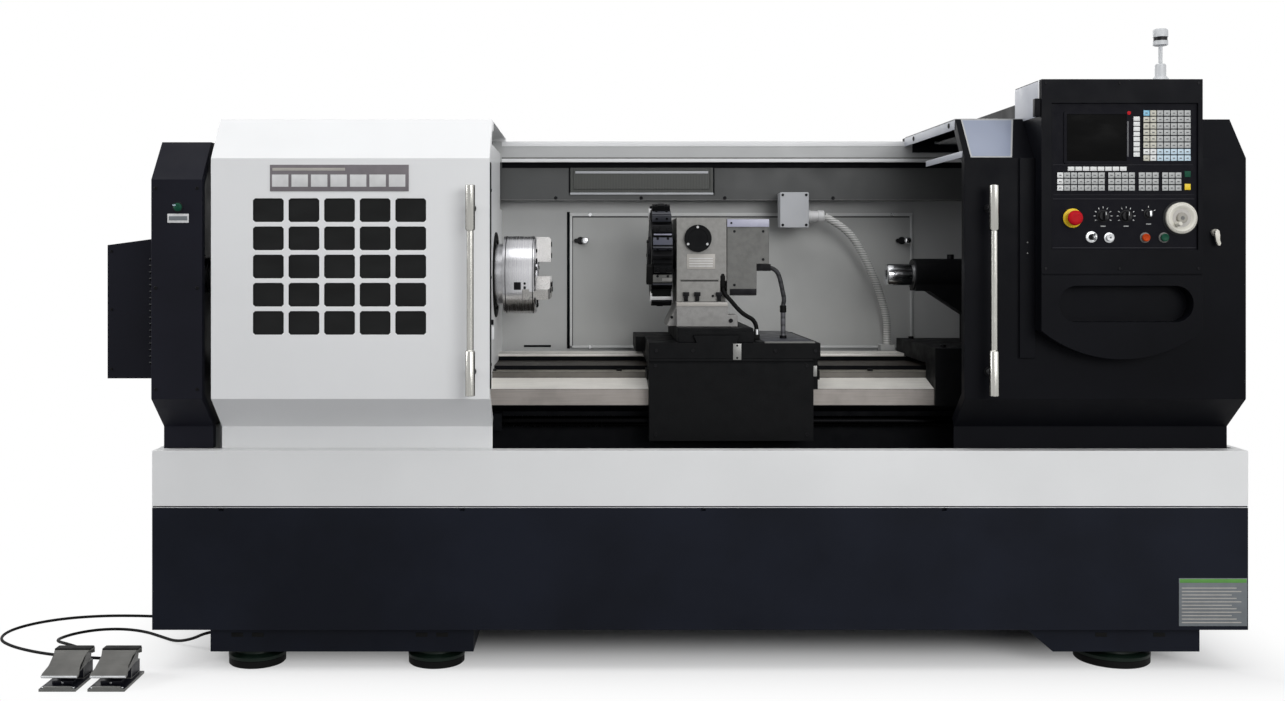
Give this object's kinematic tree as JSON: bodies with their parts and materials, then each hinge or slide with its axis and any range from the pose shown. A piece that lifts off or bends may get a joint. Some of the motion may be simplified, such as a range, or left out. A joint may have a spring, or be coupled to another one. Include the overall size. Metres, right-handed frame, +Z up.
{
  "type": "cnc turning lathe",
  "caption": "Flat-bed CNC turning lathe with sliding guard doors, three-jaw chuck, indexing tool turret, tailstock, chip tray, a control box on the right door and two foot pedals.",
  "frame": {"origin": "on the floor, under the middle of the machine's bounding box without the pedal cables", "axes": "+X along the bed from headstock to tailstock, -Y towards the operator, +Z up"},
  "size_m": [3.7847, 1.4, 1.869],
  "materials": {
    "white_sheet": "fine texture",
    "black_sheet": "semi-gloss",
    "base_black": "semi-gloss",
    "wall_grey": "satin",
    "cast_paint": "satin",
    "cast_black": "satin",
    "ground_iron": "ground",
    "bright_steel": "turned",
    "chrome": "polished",
    "rubber": "matt",
    "glazing": "smoked",
    "lamp_lens": "frosted",
    "panel_black": "fine texture",
    "hose_grey": "ribbed",
    "red_plastic": "gloss",
    "black_plastic": "gloss",
    "cream_plastic": "gloss",
    "white_plastic": "gloss",
    "orange_plastic": "gloss",
    "green_plastic": "gloss",
    "pedal_grey": "hammered",
    "foot_green": "satin"
  },
  "bodies": {
    "machine": {"base_frame": "base_black", "levelling_feet": "foot_green", "chip_tray": "white_sheet", "bed": "ground_iron", "headstock_housing": "cast_paint", "headstock_guard": "white_sheet", "main_motor": "cast_paint", "drive_belt": "rubber", "end_cover": "black_sheet", "vent_cover": "black_sheet", "rear_wall": "wall_grey", "rear_access_panel": "wall_grey", "work_lamp": "lamp_lens", "junction_box": "cast_paint", "conduit": "hose_grey", "tailstock_guard": "white_sheet", "electrical_cabinet": "white_sheet", "pedal_bases": "pedal_grey", "pedal_cable_left": "rubber", "pedal_cable_right": "rubber"},
    "spindle_body": {"spindle": "bright_steel", "chuck_body": "bright_steel"},
    "jaw_1_body": {"jaw_1": "bright_steel"},
    "jaw_2_body": {"jaw_2": "bright_steel"},
    "jaw_3_body": {"jaw_3": "bright_steel"},
    "motor_pulley_body": {"motor_pulley": "bright_steel"},
    "carriage": {"saddle": "cast_black", "apron": "cast_black"},
    "cross_slide_body": {"cross_slide": "cast_black", "turret_base": "cast_paint", "turret_housing": "cast_paint", "turret_motor_cover": "cast_paint", "turret_lines": "rubber"},
    "turret": {"turret_disc": "bright_steel", "tool_holders": "cast_black"},
    "ball_screw_body": {"ball_screw": "bright_steel"},
    "tailstock_body": {"tailstock": "cast_black"},
    "quill_body": {"quill": "chrome"},
    "left_door_body": {"left_door": "white_sheet", "left_window": "glazing", "left_handle": "chrome"},
    "right_door_body": {"right_door": "black_sheet", "right_handle": "chrome", "control_box": "black_sheet", "operator_panel": "panel_black", "signal_lamp": "white_plastic"},
    "emergency_stop_body": {"emergency_stop": "red_plastic"},
    "feed_dial_body": {"feed_dial": "black_plastic"},
    "spindle_dial_body": {"spindle_dial": "black_plastic"},
    "mode_selector_body": {"mode_selector": "black_plastic"},
    "handwheel_body": {"handwheel": "cream_plastic"},
    "key_switch_body": {"key_switch": "bright_steel"},
    "white_button_body": {"white_button": "white_plastic"},
    "orange_button_body": {"orange_button": "orange_plastic"},
    "green_button_body": {"green_button": "green_plastic"},
    "door_lever_body": {"door_lever": "cream_plastic"},
    "panel_latch_left_body": {"panel_latch_left": "black_plastic"},
    "panel_latch_right_body": {"panel_latch_right": "black_plastic"},
    "pedal_left_body": {"pedal_tread_left": "pedal_grey"},
    "pedal_right_body": {"pedal_tread_right": "pedal_grey"}
  },
  "joints": [
    {"name": "spindle_spin", "type": "hinge", "parent": "machine", "child": "spindle_body", "pos_m": [-0.9, -0.095, 1.15], "axis": [1, 0, 0], "continuous": true},
    {"name": "motor_pulley_spin", "type": "hinge", "parent": "machine", "child": "motor_pulley_body", "pos_m": [-1.355, 0.35, 0.8], "axis": [1, 0, 0], "continuous": true},
    {"name": "z_slide", "type": "slide", "parent": "machine", "child": "carriage", "axis": [1, 0, 0], "range_m": [-0.28, 0.26]},
    {"name": "ball_screw_spin", "type": "hinge", "parent": "machine", "child": "ball_screw_body", "pos_m": [0.5, -0.306, 0.702], "axis": [1, 0, 0], "range_deg": [-10081, 9361]},
    {"name": "x_slide", "type": "slide", "parent": "carriage", "child": "cross_slide_body", "axis": [0, 1, 0], "range_m": [-0.13, 0.06]},
    {"name": "turret_index", "type": "hinge", "parent": "cross_slide_body", "child": "turret", "pos_m": [0.036, -0.135, 1.213], "axis": [1, 0, 0], "continuous": true},
    {"name": "tailstock_slide", "type": "slide", "parent": "machine", "child": "tailstock_body", "axis": [1, 0, 0], "range_m": [0, 0.3]},
    {"name": "quill_slide", "type": "slide", "parent": "tailstock_body", "child": "quill_body", "axis": [-1, 0, 0], "range_m": [0, 0.12]},
    {"name": "left_door_slide", "type": "slide", "parent": "machine", "child": "left_door_body", "axis": [1, 0, 0], "range_m": [0, 0.675]},
    {"name": "right_door_slide", "type": "slide", "parent": "machine", "child": "right_door_body", "axis": [-1, 0, 0], "range_m": [0, 0.675]},
    {"name": "jaw_1_slide", "type": "slide", "parent": "spindle_body", "child": "jaw_1_body", "axis": [0, 0, 1], "range_m": [-0.005, 0.005]},
    {"name": "jaw_2_slide", "type": "slide", "parent": "spindle_body", "child": "jaw_2_body", "axis": [0, -0.866, -0.5], "range_m": [-0.005, 0.005]},
    {"name": "jaw_3_slide", "type": "slide", "parent": "spindle_body", "child": "jaw_3_body", "axis": [0, 0.866, -0.5], "range_m": [-0.005, 0.005]},
    {"name": "emergency_stop_press", "type": "slide", "parent": "right_door_body", "child": "emergency_stop_body", "axis": [0, 1, 0], "range_m": [0, 0.004], "stiffness_N_per_m": 800},
    {"name": "white_button_press", "type": "slide", "parent": "right_door_body", "child": "white_button_body", "axis": [0, 1, 0], "range_m": [0, 0.004], "stiffness_N_per_m": 300},
    {"name": "orange_button_press", "type": "slide", "parent": "right_door_body", "child": "orange_button_body", "axis": [0, 1, 0], "range_m": [0, 0.004], "stiffness_N_per_m": 300},
    {"name": "green_button_press", "type": "slide", "parent": "right_door_body", "child": "green_button_body", "axis": [0, 1, 0], "range_m": [0, 0.004], "stiffness_N_per_m": 300},
    {"name": "feed_dial_turn", "type": "hinge", "parent": "right_door_body", "child": "feed_dial_body", "pos_m": [1.256, -0.648, 1.324], "axis": [0, 1, 0], "range_deg": [-135, 135]},
    {"name": "spindle_dial_turn", "type": "hinge", "parent": "right_door_body", "child": "spindle_dial_body", "pos_m": [1.321, -0.648, 1.324], "axis": [0, 1, 0], "range_deg": [-135, 135]},
    {"name": "mode_selector_turn", "type": "hinge", "parent": "right_door_body", "child": "mode_selector_body", "pos_m": [1.384, -0.648, 1.33], "axis": [0, 1, 0], "range_deg": [-90, 90]},
    {"name": "key_switch_turn", "type": "hinge", "parent": "right_door_body", "child": "key_switch_body", "pos_m": [1.223, -0.648, 1.265], "axis": [0, 1, 0], "range_deg": [0, 90]},
    {"name": "handwheel_spin", "type": "hinge", "parent": "right_door_body", "child": "handwheel_body", "pos_m": [1.473, -0.648, 1.318], "axis": [0, 1, 0], "continuous": true},
    {"name": "door_lever_turn", "type": "hinge", "parent": "right_door_body", "child": "door_lever_body", "pos_m": [1.595, -0.6, 1.278], "axis": [0, 1, 0], "range_deg": [0, 90]},
    {"name": "panel_latch_left_turn", "type": "hinge", "parent": "machine", "child": "panel_latch_left_body", "pos_m": [-0.223, 0.2, 1.264], "axis": [0, 1, 0], "range_deg": [0, 90]},
    {"name": "panel_latch_right_turn", "type": "hinge", "parent": "machine", "child": "panel_latch_right_body", "pos_m": [0.893, 0.2, 1.264], "axis": [0, 1, 0], "range_deg": [0, 90]},
    {"name": "pedal_left_press", "type": "hinge", "parent": "machine", "child": "pedal_left_body", "pos_m": [-1.671, -0.578, 0.058], "axis": [1, 0, 0], "range_deg": [0, 10], "stiffness_Nm_per_rad": 6, "springref_deg": -11.46},
    {"name": "pedal_right_press", "type": "hinge", "parent": "machine", "child": "pedal_right_body", "pos_m": [-1.535, -0.578, 0.058], "axis": [1, 0, 0], "range_deg": [0, 10], "stiffness_Nm_per_rad": 6, "springref_deg": -11.46}
  ],
  "couplings": [
    {"joint": "motor_pulley_spin", "follows": "spindle_spin", "ratio": 1.4667},
    {"joint": "ball_screw_spin", "follows": "z_slide", "rad_per_m": 628.32},
    {"joint": "jaw_2_slide", "follows": "jaw_1_slide", "ratio": 1},
    {"joint": "jaw_3_slide", "follows": "jaw_1_slide", "ratio": 1}
  ]
}
